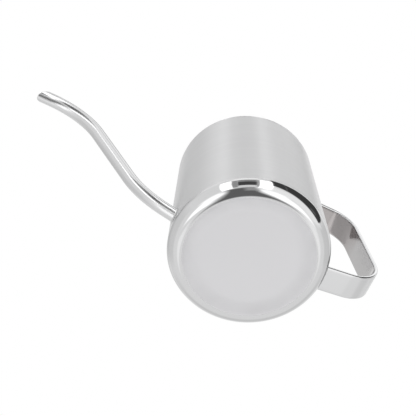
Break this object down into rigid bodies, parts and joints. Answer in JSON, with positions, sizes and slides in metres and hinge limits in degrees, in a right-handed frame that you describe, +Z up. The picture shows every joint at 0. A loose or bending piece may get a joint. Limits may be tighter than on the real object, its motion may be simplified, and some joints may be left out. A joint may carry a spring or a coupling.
{
  "type": "gooseneck kettle",
  "caption": "conical steel pouring pot with a thin swan-neck spout, a bent strap handle and a lift-off lid with a knob",
  "frame": {"origin": "on the pot's axis, on the plane that the foot ring stands on", "axes": "+Z up along the pot's axis, +X towards the spout's tip, the handle at -X"},
  "size_m": [0.1891, 0.08, 0.108],
  "materials": {
    "pot_shell": "brushed wall, polished heel, satin bottom panel",
    "spout_tube": "polished",
    "spout_weld": "polished weld",
    "handle_strap": "polished",
    "handle_top_weld": "polished weld",
    "handle_foot_weld": "polished weld",
    "lid_cover": "brushed",
    "lid_collar": "brushed",
    "lid_knob": "polished",
    "knob_screw": "bright",
    "knob_washer": "bright"
  },
  "bodies": {
    "kettle": {"pot_shell": "pot_shell", "spout_tube": "spout_tube", "spout_weld": "spout_weld", "handle_strap": "handle_strap", "handle_top_weld": "handle_top_weld", "handle_foot_weld": "handle_foot_weld"},
    "lid": {"lid_cover": "lid_cover", "lid_collar": "lid_collar", "lid_knob": "lid_knob", "knob_screw": "knob_screw", "knob_washer": "knob_washer"}
  },
  "joints": [
    {"name": "lid_lift", "type": "slide", "parent": "kettle", "child": "lid", "axis": [0, 0, 1], "range_m": [0, 0.06]}
  ]
}
